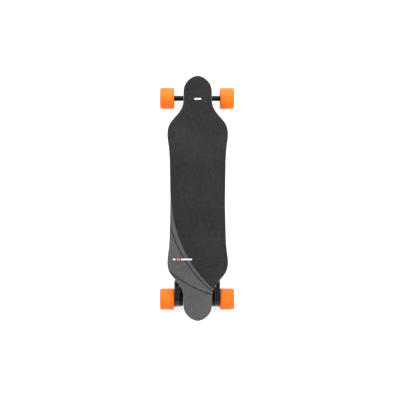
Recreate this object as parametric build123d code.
from build123d import *
import math
import os

# An electric longboard: a deck with a battery tray below it, two reverse-kingpin trucks,
# four urethane wheels, and a belt drive to each rear wheel.
# Millimetres. +Z is up, +Y points to the nose and +X to the rider's right. The origin lies on
# the ground under the middle of the deck.

# ---------------------------------------------------------------- driving dimensions
DECK_LENGTH = 950
DECK_THICKNESS = 12
DECK_UNDERSIDE = 115.5
RAIL_START = 80            # |x| where the flat floor of the deck turns up into the rails
RAIL_RADIUS = 180
GRIP_THICKNESS = 0.9
GRIP_INSET = 1

AXLE_Y = 392               # both axles lie this far from the middle
AXLE_Z = 41.5
WHEEL_RADIUS = 41.5
WHEEL_WIDTH = 54
WHEEL_X = 117              # middle plane of a wheel
AXLE_RADIUS = 4
AXLE_HALF_LENGTH = 140

STEER_ANGLE = 50           # slope of the steering axis, degrees
PIVOT_U, PIVOT_Z = -20, -2     # tip of the pivot pin, from the axle: outboard, up
RING_T = 49.7              # from the pivot tip along the steering axis to the kingpin
KINGPIN_RADIUS = 5
RISER_THICKNESS = 3
PLATE_THICKNESS = 7
PLATE_LENGTH, PLATE_WIDTH = 72, 58
PLATE_U = -18
BOLT_SPAN_X, BOLT_SPAN_Y = 41.3, 53.8

HANGER_ARM_RADIUS = 10
HANGER_ARM_END = 104       # |x| of the shoulder that the inner bearing sits against
BEARING_WIDTH = 7
BEARING_OUTER, BEARING_BORE = 11, 4
BEARING_INNER_X = 105      # |x| where the inner bearing starts
BEARING_OUTER_X = 122      # |x| where the outer bearing starts

MOTOR_U, MOTOR_Z = -47.9, 12   # motor axis from the axle: inboard, up
MOTOR_RADIUS = 25
MOTOR_X0, MOTOR_X1 = 22, 64    # |x| of the motor's two ends
MOUNT_X1 = 68.5            # |x| of the outer face of the motor mount
CLAMP_X0 = 54              # |x| where the mount's clamp starts
WHEEL_END, MOTOR_END = 29, 25.5    # radii of the mount's two round ends
POST_Y, POST_Z = -30.6, 7.7    # post between the pulleys, from the axle: inboard, up
POST_RADIUS = 4
SLEEVE_RADIUS = 6
BELT_X0, BELT_X1 = 74, 86
BELT_PITCH = 5
WHEEL_TEETH, MOTOR_TEETH = 32, 15
COVER_STEP_X, COVER_X1 = 83, 89    # |x| of the cover's step and of its outer face
COVER_WALL = 1.5

TRAY_Y0, TRAY_Y1 = -270, 285
TRAY_HALF_WIDTH = 68
TRAY_FLANGE = 80
TRAY_DEPTH = 24
TRAY_WALL = 2.5
GASKET_THICKNESS = 1
CELL_RADIUS, CELL_LENGTH, CELL_PITCH = 9.2, 65, 19.2
CELL_ROWS = 10

CONTROL_Z = 101            # height of the power button and the charge socket
BUTTON_Y = -150
SOCKET_Y = -205
CAP_HINGE_OFFSET = 11
GLAND_X = 45
SINK_HALF_X = 44           # the heatsink's window in the floor of the tray
SINK_Y0, SINK_Y1 = -232, -128

M3, M4, M5 = 1.5, 2, 2.5   # radii of the screws

RUN_FIT = 0.05             # radial clearance of a running fit
BED_FIT = 0.02             # radial clearance of a part pressed or clamped in place

# Right front quarter of the deck's outline, from the tip of the nose to the waist.
DECK_QUARTER = [
    (0, 475), (37, 457.5), (51.5, 436), (55, 400), (60, 354),
    (85, 317.5), (111, 283), (117.6, 251), (113, 205), (108, 115), (106, 0),
]
# Arcs that part the grip sheets: centre x, centre y, radius.
GREY_EDGE = (400.4, 17.8, 503.1)
UPPER_LINE = (359, 14, 481)
LOWER_LINE = (182, 52, 443.6)
LINE_WIDTH = 4.6

os.makedirs("parts", exist_ok=True)

MIN_ALIGN = (Align.CENTER, Align.CENTER, Align.MIN)
DECK_TOP = DECK_UNDERSIDE + DECK_THICKNESS
TILT = math.radians(STEER_ANGLE)


# ---------------------------------------------------------------- helpers
def save(name, *solids):
    """Write one node: a single solid, or several that stay separate."""
    pieces = [solid for shape in solids for solid in shape.solids()]
    export_step(pieces[0] if len(pieces) == 1 else Compound(pieces), f"parts/{name}.step")


def rod(start, end, radius):
    """A solid cylinder from one point to another."""
    start, end = Vector(*start), Vector(*end)
    seat = Plane(origin=start, z_dir=end - start)
    return seat * Cylinder(radius, (end - start).length, align=MIN_ALIGN)


def x_rod(x0, x1, radius, y=0, z=0):
    """A cylinder along X."""
    return rod((x0, y, z), (x1, y, z), radius)


def x_tube(x0, x1, outer, inner, y=0, z=0):
    return x_rod(x0, x1, outer, y, z) - x_rod(x0, x1, inner, y, z)


def z_rod(x, y, z0, z1, radius):
    return rod((x, y, z0), (x, y, z1), radius)


def block(x0, x1, y0, y1, z0, z1):
    middle = ((x0 + x1) / 2, (y0 + y1) / 2, (z0 + z1) / 2)
    return Pos(*middle) * Box(abs(x1 - x0), abs(y1 - y0), abs(z1 - z0))


def side_slab(points, x0, x1):
    """A plate with the given (y, z) outline between two x planes."""
    outline = Plane.YZ * make_face(Polyline(*points, close=True))
    return Pos(x0, 0, 0) * extrude(outline, amount=x1 - x0)


def belt_outline(wheel_radius, motor_radius):
    """The outline of two round ends joined by their outer tangents, about axle and motor."""
    ends = [
        Pos(0, 0) * Edge.make_circle(wheel_radius),
        Pos(MOTOR_U, MOTOR_Z) * Edge.make_circle(motor_radius),
    ]
    return make_hull(ends)


def belt_slab(wheel_radius, motor_radius, x0, x1):
    outline = Plane.YZ * belt_outline(wheel_radius, motor_radius)
    return Pos(x0, 0, 0) * extrude(outline, amount=x1 - x0)


def turned(points):
    """A solid turned about X from a closed outline of (x, radius) points."""
    return revolve(make_face(Polyline(*points, close=True)), Axis.X, 360)


def around_x(shape, count, start=0):
    """Copies of a shape spread evenly about the X axis."""
    return [Rot(start + 360 * i / count, 0, 0) * shape for i in range(count)]


def joined(shapes):
    whole = shapes[0]
    for shape in shapes[1:]:
        whole = whole + shape
    return whole


def in_truck(t, d, x=0):
    """A point of the front truck, from the axle: t along the steering axis from the pivot tip,
    d across it towards the baseplate."""
    y = PIVOT_U + t * math.cos(TILT) - d * math.sin(TILT)
    z = PIVOT_Z + t * math.sin(TILT) + d * math.cos(TILT)
    return (x, y, z)


def in_truck_yz(t, d):
    return in_truck(t, d)[1:]


def kingpin_rod(d0, d1, radius, t=RING_T):
    """A cylinder along the kingpin, d0 and d1 measured from the steering axis."""
    return rod(in_truck(t, d0), in_truck(t, d1), radius)


def placed(shape, end, side="right"):
    """Move a shape made about the axle of the right front wheel to another corner."""
    shape = Pos(0, AXLE_Y, AXLE_Z) * shape
    if end == "rear":
        shape = mirror(shape, about=Plane.XZ)
    if side == "left":
        shape = mirror(shape, about=Plane.YZ)
    return shape


# ---------------------------------------------------------------- deck and grip
def rim_loop(quarter):
    """The closed rim from its right front quarter, starting at the waist."""
    right_half = quarter[::-1] + [(-x, y) for x, y in quarter[1:]]
    return right_half + [(x, -y) for x, y in reversed(right_half[1:-1])]


def deck_face(inset=0):
    """The deck's plan, or the same shape drawn in by an inset."""
    rim = Spline(*rim_loop(DECK_QUARTER), periodic=True)
    quarter = []
    for corner in DECK_QUARTER:
        along = rim.tangent_at(rim.param_at_point(corner))
        quarter.append((corner[0] - along.Y * inset, corner[1] + along.X * inset))
    quarter[0] = (0, DECK_QUARTER[0][1] - inset)
    quarter[-1] = (DECK_QUARTER[-1][0] - inset, 0)
    loop = Spline(*rim_loop(quarter), periodic=True)
    pieces = 8
    return make_face(Wire([loop.trim(k / pieces, (k + 1) / pieces) for k in range(pieces)]))


def deck_layer(z0, z1):
    """The dished cross-section of the deck between two heights, as long as the deck."""
    reach = 125
    centre_z = DECK_UNDERSIDE + RAIL_RADIUS

    def rail_end(z):
        return centre_z - math.sqrt((centre_z - z) ** 2 - (reach - RAIL_START) ** 2)

    right = [
        Line((0, z0), (RAIL_START, z0)),
        TangentArc((RAIL_START, z0), (reach, rail_end(z0)), tangent=(1, 0)),
        Line((reach, rail_end(z0)), (reach, rail_end(z1))),
        TangentArc((RAIL_START, z1), (reach, rail_end(z1)), tangent=(1, 0)),
        Line((RAIL_START, z1), (0, z1)),
    ]
    lines = right + [mirror(line, about=Plane.YZ) for line in right]
    section = make_face(Wire([edge for line in lines for edge in line.edges()]))
    return extrude(Plane.XZ * section, amount=DECK_LENGTH / 2 + 5, both=True)


def bolt_places(end):
    """The four bolt centres of a truck on the deck."""
    sign = 1 if end == "front" else -1
    for x in (-BOLT_SPAN_X / 2, BOLT_SPAN_X / 2):
        for v in (-BOLT_SPAN_Y / 2, BOLT_SPAN_Y / 2):
            yield x, sign * (AXLE_Y + PLATE_U + v)


def tray_screw_places():
    x = (TRAY_HALF_WIDTH + TRAY_FLANGE) / 2
    rows = 7
    for i in range(rows):
        y = TRAY_Y0 + 8 + i * (TRAY_Y1 - TRAY_Y0 - 16) / (rows - 1)
        yield x, y
        yield -x, y


def inserts():
    """Threaded sleeves in the underside of the deck: M5 for the trucks, M4 for the tray."""
    sleeves = []
    for end in ("front", "rear"):
        for x, y in bolt_places(end):
            outer = z_rod(x, y, DECK_UNDERSIDE, DECK_UNDERSIDE + 10, 3.5)
            sleeves.append((outer, outer - z_rod(x, y, DECK_UNDERSIDE, DECK_UNDERSIDE + 10, M5 + RUN_FIT)))
    for x, y in tray_screw_places():
        outer = z_rod(x, y, DECK_UNDERSIDE, DECK_UNDERSIDE + 8, 3)
        sleeves.append((outer, outer - z_rod(x, y, DECK_UNDERSIDE, DECK_UNDERSIDE + 8, M4 + RUN_FIT)))
    return sleeves


def deck():
    slab = extrude(Pos(0, 0, 100) * deck_face(), amount=60)
    board = slab & deck_layer(DECK_UNDERSIDE, DECK_TOP)
    for outer, _ in inserts():
        board = board - outer
    return board


def disc_prism(circle, grow=0):
    x, y, radius = circle
    return Pos(x, y, 0) * Cylinder(radius + grow, 300, align=MIN_ALIGN)


def line_prism(circle):
    return disc_prism(circle, LINE_WIDTH / 2) - disc_prism(circle, -LINE_WIDTH / 2)


def grip_sheets():
    """The dark sheets and the grey ones, which lie tailwards of the first arc."""
    sheet = extrude(Pos(0, 0, 100) * deck_face(GRIP_INSET), amount=60)
    sheet = sheet & deck_layer(DECK_TOP, DECK_TOP + GRIP_THICKNESS)
    tail_corner = block(-200, 200, -500, 0, 0, 300) - disc_prism(GREY_EDGE)
    lines = line_prism(UPPER_LINE) + line_prism(LOWER_LINE)
    grey = (sheet & tail_corner) - lines
    return sheet - grey, grey


# ---------------------------------------------------------------- trucks
PLATE_TOP = DECK_UNDERSIDE - RISER_THICKNESS - AXLE_Z
PLATE_BOTTOM = PLATE_TOP - PLATE_THICKNESS
SEAT_D = 21.5              # boardside bushing seat, from the steering axis
HEAD_SEAT_D = 32           # kingpin head seat
RING_RADIUS = 16.5
RING_HALF = 4
CUP_RADIUS, PIN_RADIUS = 9.5, 5.8


def plate_outline(z0, z1):
    plate = block(-PLATE_WIDTH / 2, PLATE_WIDTH / 2, PLATE_U - PLATE_LENGTH / 2,
                  PLATE_U + PLATE_LENGTH / 2, z0, z1)
    plate = fillet(plate.edges().filter_by(Axis.Z), 9)
    for x, y in bolt_places("front"):
        plate = plate - z_rod(x, y - AXLE_Y, z0, z1, 2.7)
    return plate


def baseplate():
    plate = plate_outline(PLATE_BOTTOM, PLATE_TOP)
    tower = side_slab(
        [(-48, PLATE_BOTTOM + 1), (-38, 40), in_truck_yz(5, 24), in_truck_yz(-9, 13),
         in_truck_yz(-9, 0), in_truck_yz(4, 0), in_truck_yz(5, 13), in_truck_yz(30, 16),
         in_truck_yz(35, SEAT_D), (-6, PLATE_BOTTOM + 1)], -9, 9)
    wedge = side_slab(
        [in_truck_yz(RING_T - 15, SEAT_D), in_truck_yz(RING_T + 15, SEAT_D),
         (12, PLATE_BOTTOM + 1), (-46, PLATE_BOTTOM + 1), in_truck_yz(28, 32)], -15, 15)
    cup_boss = rod(in_truck(-10, 0), in_truck(4, 0), 12.5)
    body = plate + tower + wedge + cup_boss
    body = body - rod(in_truck(-7, 0), in_truck(10, 0), CUP_RADIUS)
    body = body - kingpin_rod(SEAT_D - 5, HEAD_SEAT_D + 1, KINGPIN_RADIUS + BED_FIT)
    body = body - kingpin_rod(HEAD_SEAT_D, 80, 11)
    return body & block(-60, 60, -80, 40, -40, PLATE_TOP)


def pivot_cup():
    """A urethane cup round the pivot pin."""
    cup = rod(in_truck(-7, 0), in_truck(4, 0), CUP_RADIUS)
    bore = rod(in_truck(0, 0), in_truck(4, 0), PIN_RADIUS + RUN_FIT)
    tip = Pos(*in_truck(0, 0)) * Sphere(PIN_RADIUS + RUN_FIT)
    return cup - bore - tip


def kingpin():
    shank = kingpin_rod(HEAD_SEAT_D, -30, KINGPIN_RADIUS)
    hexagon = RegularPolygon(9.5, 6)
    head_start = Vector(*in_truck(RING_T, HEAD_SEAT_D))
    outward = head_start - Vector(*in_truck(RING_T, 0))
    head = extrude(Plane(origin=head_start, z_dir=outward) * hexagon, amount=6.4)
    return shank + head


def kingpin_nut():
    """The lock nut and the cup washer that it presses on the roadside bushing."""
    start = Vector(*in_truck(RING_T, -19.2))
    outward = start - Vector(*in_truck(RING_T, 0))
    hexagon = Plane(origin=start, z_dir=outward) * RegularPolygon(8.6, 6)
    nut = extrude(hexagon, amount=9) - kingpin_rod(-15, -35, KINGPIN_RADIUS + BED_FIT)
    washer = kingpin_rod(-17, -19.2, 12) - kingpin_rod(-16, -20, KINGPIN_RADIUS + BED_FIT)
    return [nut, washer]


def bushings():
    """Two urethane barrels, one each side of the hanger ring."""
    barrels = []
    for d0, d1, radius in ((SEAT_D, RING_HALF + 0.3, 13.5), (-RING_HALF - 0.3, -17, 12.5)):
        barrel = kingpin_rod(d0, d1, radius) - kingpin_rod(d0, d1, KINGPIN_RADIUS + 0.2)
        barrels.append(barrel)
    return barrels


def hanger(arm_end):
    """The cast hanger: arms with a slimmer shoulder at each end, body, ring and pivot pin."""
    arms = x_rod(-arm_end, arm_end, HANGER_ARM_RADIUS)
    shoulders = x_rod(-HANGER_ARM_END, HANGER_ARM_END, SLEEVE_RADIUS)
    ring_centre = Vector(*in_truck(RING_T, 0))
    body = side_slab(
        [(0, -7), (8, -4), in_truck_yz(RING_T + 8, -RING_HALF), in_truck_yz(RING_T + 8, RING_HALF),
         in_truck_yz(RING_T - 16, RING_HALF), in_truck_yz(28, 9), in_truck_yz(19, 10), (-7, 0)], -15, 15)
    across = Plane(origin=(0, 0, 0), x_dir=(1, 0, 0), z_dir=(0, -ring_centre.Z, ring_centre.Y))
    reach = math.hypot(ring_centre.Y, ring_centre.Z)
    delta = make_face(Polyline((-58, -6), (58, -6), (58, 4), (15, reach - 8), (-15, reach - 8),
                               (-58, 4), close=True))
    fins = extrude(across * delta, amount=4, both=True)
    ring = kingpin_rod(RING_HALF, -RING_HALF, RING_RADIUS)
    pin = rod(in_truck(0, 0), in_truck(24, 0), PIN_RADIUS) + Pos(*in_truck(0, 0)) * Sphere(PIN_RADIUS)
    collar = rod(in_truck(6.5, 0), in_truck(26, 0), 9.6)
    whole = arms + shoulders + body + fins + collar
    whole = whole - kingpin_rod(60, RING_HALF, 17.5) - kingpin_rod(-RING_HALF, -40, 16)
    whole = whole + ring + pin
    whole = whole - x_rod(-120, 120, AXLE_RADIUS + BED_FIT)
    return whole - kingpin_rod(20, -20, 8)


# ---------------------------------------------------------------- wheels and bearings
def tyre():
    """A urethane tyre with soft lips, about the wheel's middle plane."""
    half = WHEEL_WIDTH / 2
    lip_x, lip_r = half - 5.5, WHEEL_RADIUS - 7
    right = [
        Line((0, WHEEL_RADIUS), (lip_x, WHEEL_RADIUS)),
        TangentArc((lip_x, WHEEL_RADIUS), (half, lip_r), tangent=(1, 0)),
        Line((half, lip_r), (half - 3, 29)),
        Line((half - 3, 29), (half - 6, 26)),
        Line((half - 6, 26), (0, 26)),
    ]
    curves = right + [mirror(curve, about=Plane.YZ) for curve in right]
    profile = make_face(Wire([edge for curve in curves for edge in curve.edges()]))
    return revolve(profile, Axis.X, 360)


def wheel_core():
    """The moulded core: bearing seats, eight spokes and the rim under the tyre."""
    hub = turned([(-12.5, BEARING_OUTER), (-12.5, 15), (12.5, 15), (12.5, BEARING_OUTER),
                  (5, BEARING_OUTER), (5, 9.5), (-5, 9.5), (-5, BEARING_OUTER)])
    rim = turned([(-20, 22.5), (-20, 26), (20, 26), (20, 22.5)])
    web = turned([(-1.5, 14), (-1.5, 23), (1.5, 23), (1.5, 14)])
    spoke = block(-9, 9, -1.6, 1.6, 14.2, 23)
    return joined([hub, rim, web] + around_x(spoke, 8, 22.5))


def ball_bearing(x0, width, bore, inner_land, outer_land, outside, ball_count):
    """Inner ring, outer ring and balls of one bearing, side by side along X."""
    inner = x_tube(x0, x0 + width, inner_land, bore + BED_FIT)
    outer = x_tube(x0, x0 + width, outside, outer_land)
    ball_radius = (outer_land - inner_land) / 2 - RUN_FIT / 2
    ball = Pos(x0 + width / 2, 0, outer_land - ball_radius) * Sphere(ball_radius)
    return inner, [outer] + around_x(ball, ball_count)


def wheel_bearings(with_drive):
    """Inner rings with their spacer, and outer rings with their balls, for the right wheel."""
    still = [x_tube(BEARING_INNER_X + BEARING_WIDTH, BEARING_OUTER_X, 5.5, BEARING_BORE + BED_FIT)]
    turning = []
    for x0 in (BEARING_INNER_X, BEARING_OUTER_X):
        inner, outer = ball_bearing(x0, BEARING_WIDTH, BEARING_BORE, 6, 9.2, BEARING_OUTER, 7)
        still.append(inner)
        turning.extend(outer)
    if with_drive:
        inner, outer = ball_bearing(BELT_X0, 5, SLEEVE_RADIUS, 7.4, 9, 10.5, 12)
        still.append(inner)
        turning.extend(outer)
    return still, turning


def axle_end():
    """Speed washers and lock nut on the right end of an axle."""
    washers = [x_tube(x, x + 1, 6.2, AXLE_RADIUS + BED_FIT) for x in (104, 129)]
    nut = extrude(Plane(origin=(130, 0, 0), z_dir=(1, 0, 0)) * RegularPolygon(7.4, 6), amount=8)
    return washers + [nut - x_rod(130, 138, AXLE_RADIUS + BED_FIT)]


# ---------------------------------------------------------------- belt drive
def pitch_radius(teeth):
    return teeth * BELT_PITCH / (2 * math.pi)


def toothed_wheel(teeth, x0, x1):
    """A pulley for round-toothed belt."""
    tip = pitch_radius(teeth) - 0.57
    groove = x_rod(x0, x1, 1.55, z=tip - 0.5)
    return joined_cut(x_rod(x0, x1, tip), around_x(groove, teeth))


def joined_cut(body, cutters):
    return body - Compound([solid for cutter in cutters for solid in cutter.solids()])


def wheel_pulley():
    """The large pulley, with eight lugs that key into the wheel core."""
    body = toothed_wheel(WHEEL_TEETH, BELT_X0 - 0.5, BELT_X1 + 0.5)
    hub = x_rod(BELT_X1, 97, 21)
    lug = block(97, 111, -2.6, 2.6, 15.8, 21.4)
    whole = joined([body, hub] + around_x(lug, 8, 0))
    whole = whole - x_rod(60, 79, 10.5) - x_rod(70, 112, 8)
    return whole - x_rod(92, 97, 15.6)


def motor_pulley():
    at_axle = toothed_wheel(MOTOR_TEETH, BELT_X0 - 0.5, BELT_X1 + 0.5) - x_rod(60, 90, 4 + BED_FIT)
    return Pos(0, MOTOR_U, MOTOR_Z) * at_axle


def belt():
    """The belt's band round both pulleys, just clear of the teeth."""
    clear = 0.3
    inner_wheel = pitch_radius(WHEEL_TEETH) - 0.57 + clear
    inner_motor = pitch_radius(MOTOR_TEETH) - 0.57 + clear
    band = 1.7
    whole = belt_slab(inner_wheel + band, inner_motor + band, BELT_X0, BELT_X1)
    return whole - belt_slab(inner_wheel, inner_motor, BELT_X0, BELT_X1)


def motor_screw_places():
    circle = 17
    for angle in (45, 135, 225, 315):
        turn = math.radians(angle)
        yield (MOTOR_U + circle * math.cos(turn), MOTOR_Z + circle * math.sin(turn))


def motor_mount():
    """A plate and a thick clamp on the hanger arm, which carry the motor and the belt cover."""
    plate = belt_slab(WHEEL_END, MOTOR_END, MOTOR_X1, MOUNT_X1)
    clamp = x_rod(CLAMP_X0, MOTOR_X1, WHEEL_END - 2)
    clamp = clamp - x_rod(CLAMP_X0, MOTOR_X1, MOTOR_RADIUS + 0.3, MOTOR_U, MOTOR_Z)
    whole = plate + clamp - x_rod(CLAMP_X0, MOUNT_X1, HANGER_ARM_RADIUS + BED_FIT)
    whole = whole - x_rod(MOTOR_X1, MOUNT_X1, 7, MOTOR_U, MOTOR_Z)
    whole = whole - x_rod(MOTOR_X1, MOUNT_X1, M3 + RUN_FIT, POST_Y, POST_Z)
    for y, z in motor_screw_places():
        whole = whole - x_rod(MOTOR_X1, MOUNT_X1, M4 + RUN_FIT, y, z)
    return whole


def motor_can():
    """The motor's housing: a cup with its front bearing seat, and the end cap."""
    cup = x_rod(MOTOR_X0 + 3, MOTOR_X1, MOTOR_RADIUS) - x_rod(MOTOR_X0 + 3, MOTOR_X1 - 4, MOTOR_RADIUS - 2)
    cup = cup - x_rod(50, 70, 4 + RUN_FIT)
    cap = x_rod(MOTOR_X0, MOTOR_X0 + 3, MOTOR_RADIUS - 0.6) + x_rod(MOTOR_X0, MOTOR_X0 + 6, 8)
    cap = cap - x_rod(MOTOR_X0 + 1, MOTOR_X0 + 6, 4 + RUN_FIT)
    cup = Pos(0, MOTOR_U, MOTOR_Z) * cup
    for y, z in motor_screw_places():
        cup = cup - x_rod(MOTOR_X1 - 4, MOTOR_X1, M4 + RUN_FIT, y, z)
    return [cup, Pos(0, MOTOR_U, MOTOR_Z) * cap]


def motor_stator():
    ring = x_tube(MOTOR_X0 + 9, MOTOR_X1 - 7, MOTOR_RADIUS - 2, 15)
    slot = x_rod(MOTOR_X0 + 9, MOTOR_X1 - 7, 1.9, z=18.4)
    return Pos(0, MOTOR_U, MOTOR_Z) * joined_cut(ring, around_x(slot, 12))


def motor_rotor():
    """The magnet drum on its shaft, which carries the small pulley outside."""
    drum = x_rod(MOTOR_X0 + 8, MOTOR_X1 - 6, 14.4)
    shaft = x_rod(MOTOR_X0 + 1.5, BELT_X1 + 0.5, 4)
    return Pos(0, MOTOR_U, MOTOR_Z) * (drum + shaft)


def belt_cover():
    """The two-step housing over belt and pulleys, open towards the wheel hub."""
    motor_end, thin = 24.2, 1.4
    inner_step = belt_slab(WHEEL_END, motor_end, MOUNT_X1, COVER_STEP_X)
    outer_step = belt_slab(WHEEL_END + 1, MOTOR_END + 1, COVER_STEP_X, COVER_X1)
    hollow = belt_slab(WHEEL_END - thin, motor_end - thin, MOUNT_X1 + COVER_WALL, COVER_X1 - COVER_WALL)
    whole = inner_step + outer_step - hollow
    whole = whole - x_rod(COVER_STEP_X, COVER_X1, 21.8) - x_rod(MOUNT_X1, COVER_STEP_X, 12)
    whole = whole - x_rod(MOUNT_X1, COVER_STEP_X, 20.8, MOTOR_U, MOTOR_Z)
    whole = whole + x_rod(MOUNT_X1, COVER_X1, POST_RADIUS, POST_Y, POST_Z)
    return whole - x_rod(MOUNT_X1, COVER_X1, M3 + RUN_FIT, POST_Y, POST_Z)


def drive_screws():
    """Four button-head screws hold the motor, and one long screw the belt cover."""
    screws = []
    for y, z in motor_screw_places():
        screws.append(x_rod(MOTOR_X1 - 4, MOUNT_X1, M4, y, z) + x_rod(MOUNT_X1, MOUNT_X1 + 2.2, 3.6, y, z))
    long_screw = x_rod(MOTOR_X1, COVER_X1, M3, POST_Y, POST_Z)
    screws.append(long_screw + x_rod(COVER_X1, COVER_X1 + 0.6, 2.8, POST_Y, POST_Z))
    return screws


# ---------------------------------------------------------------- battery tray and controls
FLANGE_TOP = DECK_UNDERSIDE - GASKET_THICKNESS
TRAY_BOTTOM = FLANGE_TOP - TRAY_DEPTH
WALL_X = TRAY_HALF_WIDTH   # outer face of the tray's right wall
HINGE_X = WALL_X + 3.6     # axis of the charge cap's hinge


def tray_block(grow, z0, z1, radius):
    """A round-cornered block of the tray's plan, grown or shrunk."""
    half = TRAY_HALF_WIDTH + grow
    box = block(-half, half, TRAY_Y0 + 12 - grow, TRAY_Y1 - 12 + grow, z0, z1)
    return fillet(box.edges().filter_by(Axis.Z), radius)


# Planes that part the tray's walls into straight lengths and corners.
TRAY_CUTS_X = (-TRAY_FLANGE, -50, 50, TRAY_FLANGE)
TRAY_CUTS_Y = (TRAY_Y0, TRAY_Y0 + 30, (SOCKET_Y + BUTTON_Y) / 2, TRAY_Y1 - 30, TRAY_Y1)


def tray():
    """The tray's walls and flange, as lengths that meet face to face, and its floor panel."""
    body = tray_block(0, TRAY_BOTTOM, FLANGE_TOP, 14)
    body = fillet(body.faces().sort_by(Axis.Z)[0].edges(), 4)
    flange = tray_block(12, FLANGE_TOP - 3, FLANGE_TOP, 18)
    body = body + flange - tray_block(-TRAY_WALL, TRAY_BOTTOM + TRAY_WALL, FLANGE_TOP, 11)
    for x, y in tray_screw_places():
        body = body - z_rod(x, y, FLANGE_TOP - 3, FLANGE_TOP, M4 + 0.1)
    body = body - x_rod(WALL_X - TRAY_WALL - 1, WALL_X, 6, BUTTON_Y, CONTROL_Z)
    body = body - x_rod(WALL_X - TRAY_WALL - 1, WALL_X, 6.9, SOCKET_Y, CONTROL_Z)
    for x in (-GLAND_X, GLAND_X):
        body = body - rod((x, TRAY_Y0, CONTROL_Z), (x, TRAY_Y0 + 20, CONTROL_Z), 6.02)
    below = block(-100, 100, TRAY_Y0, TRAY_Y1, 0, TRAY_BOTTOM + TRAY_WALL)
    window = block(-SINK_HALF_X, SINK_HALF_X, SINK_Y0, SINK_Y1, 0, TRAY_BOTTOM + TRAY_WALL)
    walls = body - below
    lengths = []
    for x0, x1 in zip(TRAY_CUTS_X, TRAY_CUTS_X[1:]):
        for y0, y1 in zip(TRAY_CUTS_Y, TRAY_CUTS_Y[1:]):
            length = walls & block(x0, x1, y0, y1, TRAY_BOTTOM, FLANGE_TOP)
            if length:
                lengths.extend(length.solids())
    return lengths, (body & below) - window


def gasket():
    ring = tray_block(12, FLANGE_TOP, DECK_UNDERSIDE, 18) - tray_block(1, FLANGE_TOP, DECK_UNDERSIDE, 11)
    for x, y in tray_screw_places():
        ring = ring - z_rod(x, y, FLANGE_TOP, DECK_UNDERSIDE, 2.3)
    return ring


def heatsink():
    """A finned plate set into the floor of the tray, under the speed controller."""
    gap = 0.1
    plate = block(gap - SINK_HALF_X, SINK_HALF_X - gap, SINK_Y0 + gap, SINK_Y1 - gap,
                  TRAY_BOTTOM, TRAY_BOTTOM + TRAY_WALL + 1)
    grooves = []
    for x in range(-39, 40, 6):
        groove = block(x - 1.2, x + 1.2, SINK_Y0 + 4, SINK_Y1 - 4, TRAY_BOTTOM, TRAY_BOTTOM + 1.4)
        grooves.append(groove)
    return joined_cut(plate, grooves)


def controller_board():
    """The speed controller's board with its power transistors and capacitors."""
    z0 = TRAY_BOTTOM + TRAY_WALL + 1
    parts = [block(-42, 42, SINK_Y0 + 2, SINK_Y1 - 2, z0 + 3, z0 + 4.6)]
    for x in (-30, -10, 10, 30):
        for y in (-210, -180, -150):
            parts.append(block(x - 5, x + 5, y - 6, y + 6, z0, z0 + 3))
    for x in (-30, -15, 0, 15):
        parts.append(z_rod(x, SINK_Y1 - 10, z0 + 4.6, z0 + 13.6, 5))
    return joined(parts)


def balance_board():
    """The board that evens out the cells' charge, on four feet."""
    z0 = TRAY_BOTTOM + TRAY_WALL
    parts = [block(-55, 55, -100, -20, z0 + 3, z0 + 4.6)]
    for x in (-50, 50):
        for y in (-95, -25):
            parts.append(z_rod(x, y, z0, z0 + 3, 3))
    for x in (-30, 0, 30):
        for y in (-75, -45):
            parts.append(block(x - 8, x + 8, y - 5, y + 5, z0 + 4.6, z0 + 7))
    return joined(parts)


def battery_cells():
    z = TRAY_BOTTOM + TRAY_WALL + CELL_RADIUS + 0.1
    y0 = 70
    cells = []
    for row in range(CELL_ROWS):
        for x in (-CELL_LENGTH - 0.2, 0.2):
            cells.append(x_rod(x, x + CELL_LENGTH, CELL_RADIUS, y0 + row * CELL_PITCH, z))
    return cells


def charge_socket():
    """A round socket with flush contacts, a flange and two ears for the cap's hinge."""
    flange = x_rod(WALL_X, WALL_X + 1.5, 8.5, SOCKET_Y, CONTROL_Z)
    barrel = x_rod(WALL_X - 11, WALL_X, 6.85, SOCKET_Y, CONTROL_Z)
    body = flange + barrel - x_rod(WALL_X - 6.5, WALL_X + 1.5, 5.5, SOCKET_Y, CONTROL_Z)
    hinge_y = SOCKET_Y - CAP_HINGE_OFFSET
    body = body + block(WALL_X, WALL_X + 1.5, hinge_y - 1.6, SOCKET_Y - 6, CONTROL_Z - 7, CONTROL_Z + 7)
    for z0, z1 in ((CONTROL_Z - 7, CONTROL_Z - 4.4), (CONTROL_Z + 4.4, CONTROL_Z + 7)):
        ear = block(WALL_X + 1, HINGE_X, hinge_y - 1.6, hinge_y + 1.6, z0, z1)
        body = body + ear + z_rod(HINGE_X, hinge_y, z0, z1, 1.6)
    pin = z_rod(HINGE_X, hinge_y, CONTROL_Z - 7, CONTROL_Z + 7, 0.8)
    return body + pin


def charge_cap():
    """A soft cap that lies over the socket's mouth, with a pull tab and a knuckle on the hinge pin."""
    lid = x_rod(WALL_X + 1.9, WALL_X + 4.2, 8.5, SOCKET_Y, CONTROL_Z)
    dome = x_rod(WALL_X + 4.2, WALL_X + 4.9, 6.4, SOCKET_Y, CONTROL_Z)
    hinge_y = SOCKET_Y - CAP_HINGE_OFFSET
    knuckle = z_rod(HINGE_X, hinge_y, CONTROL_Z - 4, CONTROL_Z + 4, 1.6)
    strap = block(WALL_X + 2.6, WALL_X + 4.2, hinge_y, SOCKET_Y, CONTROL_Z - 4, CONTROL_Z + 4)
    pull = block(WALL_X + 2.2, WALL_X + 4.2, SOCKET_Y, SOCKET_Y + 10.5, CONTROL_Z - 2.5, CONTROL_Z + 2.5)
    body = lid + dome + knuckle + strap + pull
    return body - z_rod(HINGE_X, hinge_y, CONTROL_Z - 5, CONTROL_Z + 5, 0.8 + RUN_FIT)


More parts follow.
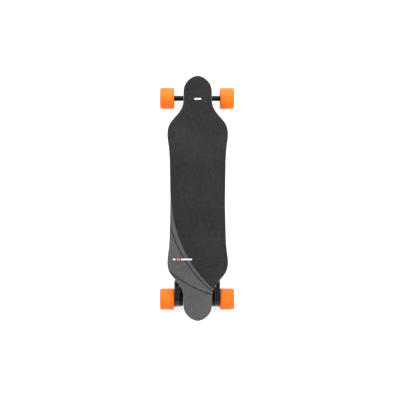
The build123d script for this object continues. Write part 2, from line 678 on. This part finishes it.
def power_button():
    """A round button that slides in the wall, with a retaining flange inside."""
    stem = x_rod(WALL_X - 4.5, WALL_X + 2.2, 6 - RUN_FIT, BUTTON_Y, CONTROL_Z)
    return stem + x_rod(WALL_X - 5, WALL_X - 3, 7.2, BUTTON_Y, CONTROL_Z)


def power_switch():
    """The switch behind the button, in a housing that closes the hole in the tray's wall."""
    inner_face = WALL_X - TRAY_WALL
    housing = block(WALL_X - 10, inner_face, BUTTON_Y - 9, BUTTON_Y + 9, CONTROL_Z - 7.95, CONTROL_Z + 7.95)
    return housing - x_rod(WALL_X - 7.2, inner_face, 7.4, BUTTON_Y, CONTROL_Z)


def cable_glands():
    glands = []
    for x in (-GLAND_X, GLAND_X):
        y0 = TRAY_Y0 + 12
        body = rod((x, y0, CONTROL_Z), (x, y0 + 10, CONTROL_Z), 6)
        nose = rod((x, y0 - 9, CONTROL_Z), (x, y0, CONTROL_Z), 7.5)
        glands.append(body + nose - rod((x, y0 - 9, CONTROL_Z), (x, y0 + 10, CONTROL_Z), 3.55))
    return glands


def motor_lead(side):
    """The lead from a motor's housing up to its gland."""
    sign = 1 if side == "right" else -1
    motor_y = -(AXLE_Y + MOTOR_U)
    top = AXLE_Z + MOTOR_Z + MOTOR_RADIUS
    gland_y = TRAY_Y0 + 12
    route = [
        (sign * 42, motor_y + 4, top + 0.3),
        (sign * 42, motor_y + 6, top + 15),
        (sign * 43, motor_y + 26, CONTROL_Z + 1.5),
        (sign * GLAND_X, gland_y - 24, CONTROL_Z),
        (sign * GLAND_X, gland_y - 2, CONTROL_Z),
    ]
    path = FilletPolyline(*route, radius=[9, 12, 60])
    start = Plane(origin=path @ 0, z_dir=path % 0)
    return sweep(start * Circle(3.5), path=path)


# ---------------------------------------------------------------- write every node
save("deck", deck())
dark_sheets, grey_sheets = grip_sheets()
save("grip_main", dark_sheets)
save("grip_grey", grey_sheets)
save("threaded_inserts", *[sleeve for _, sleeve in inserts()])

deck_screws = []
for end in ("front", "rear"):
    save(f"{end}_baseplate", placed(baseplate(), end))
    save(f"{end}_bushings", *[placed(barrel, end) for barrel in bushings()])
    for x, y in bolt_places(end):
        shank = z_rod(x, y, AXLE_Z + PLATE_BOTTOM, DECK_UNDERSIDE + 9, M5)
        deck_screws.append(shank + z_rod(x, y, AXLE_Z + PLATE_BOTTOM - 2.8, AXLE_Z + PLATE_BOTTOM, 4.7))
    still = []
    nuts = []
    for side in ("left", "right"):
        rings, turning = wheel_bearings(end == "rear")
        still.extend(placed(ring, end, side) for ring in rings)
        nuts.extend(placed(piece, end, side) for piece in axle_end())
        wheel = Pos(WHEEL_X, 0, 0)
        save(f"{end}_{side}_tyre", placed(wheel * tyre(), end, side))
        save(f"{end}_{side}_wheel_core", placed(wheel * wheel_core(), end, side))
        save(f"{end}_{side}_bearings", *[placed(piece, end, side) for piece in turning])
    save(f"{end}_bearing_inner_rings", *still)
    save(f"{end}_axle_nuts", *nuts)
    save(f"{end}_axle", placed(x_rod(-AXLE_HALF_LENGTH, AXLE_HALF_LENGTH, AXLE_RADIUS), end))
save("front_hanger", placed(hanger(HANGER_ARM_END - 6), "front"))
save("rear_hanger", placed(hanger(MOUNT_X1), "rear"))

ends = ("front", "rear")
save("riser_pads", *[placed(plate_outline(PLATE_TOP, PLATE_TOP + RISER_THICKNESS), end) for end in ends])
save("pivot_cups", *[placed(pivot_cup(), end) for end in ends])
save("kingpins", *[placed(kingpin(), end) for end in ends])
save("kingpin_nuts", *[placed(piece, end) for end in ends for piece in kingpin_nut()])

for side in ("left", "right"):
    save(f"{side}_motor_mount", placed(motor_mount(), "rear", side))
    save(f"{side}_motor_can", *[placed(piece, "rear", side) for piece in motor_can()])
    save(f"{side}_motor_rotor", placed(motor_rotor(), "rear", side))
    save(f"{side}_motor_pulley", placed(motor_pulley(), "rear", side))
    save(f"{side}_wheel_pulley", placed(wheel_pulley(), "rear", side))
    save(f"{side}_belt_cover", placed(belt_cover(), "rear", side))
sides = ("left", "right")
save("motor_stators", *[placed(motor_stator(), "rear", side) for side in sides])
save("drive_belts", *[placed(belt(), "rear", side) for side in sides])
save("drive_screws", *[placed(screw, "rear", side) for side in sides for screw in drive_screws()])

wall_lengths, floor_panel = tray()
save("battery_tray", *wall_lengths)
save("tray_floor", floor_panel)
save("tray_gasket", gasket())
save("controller_heatsink", heatsink())
save("circuit_boards", controller_board(), balance_board())
save("battery_cells", *battery_cells())
for x, y in tray_screw_places():
    head = z_rod(x, y, FLANGE_TOP - 5.2, FLANGE_TOP - 3, 3.6)
    deck_screws.append(head + z_rod(x, y, FLANGE_TOP - 3, DECK_UNDERSIDE + 7, M4))
save("deck_screws", *deck_screws)
save("charge_socket", charge_socket())
save("charge_cap", charge_cap())
save("power_button", power_button())
save("power_switch", power_switch())
save("cable_glands", *cable_glands())
save("motor_leads", *[motor_lead(side) for side in sides])
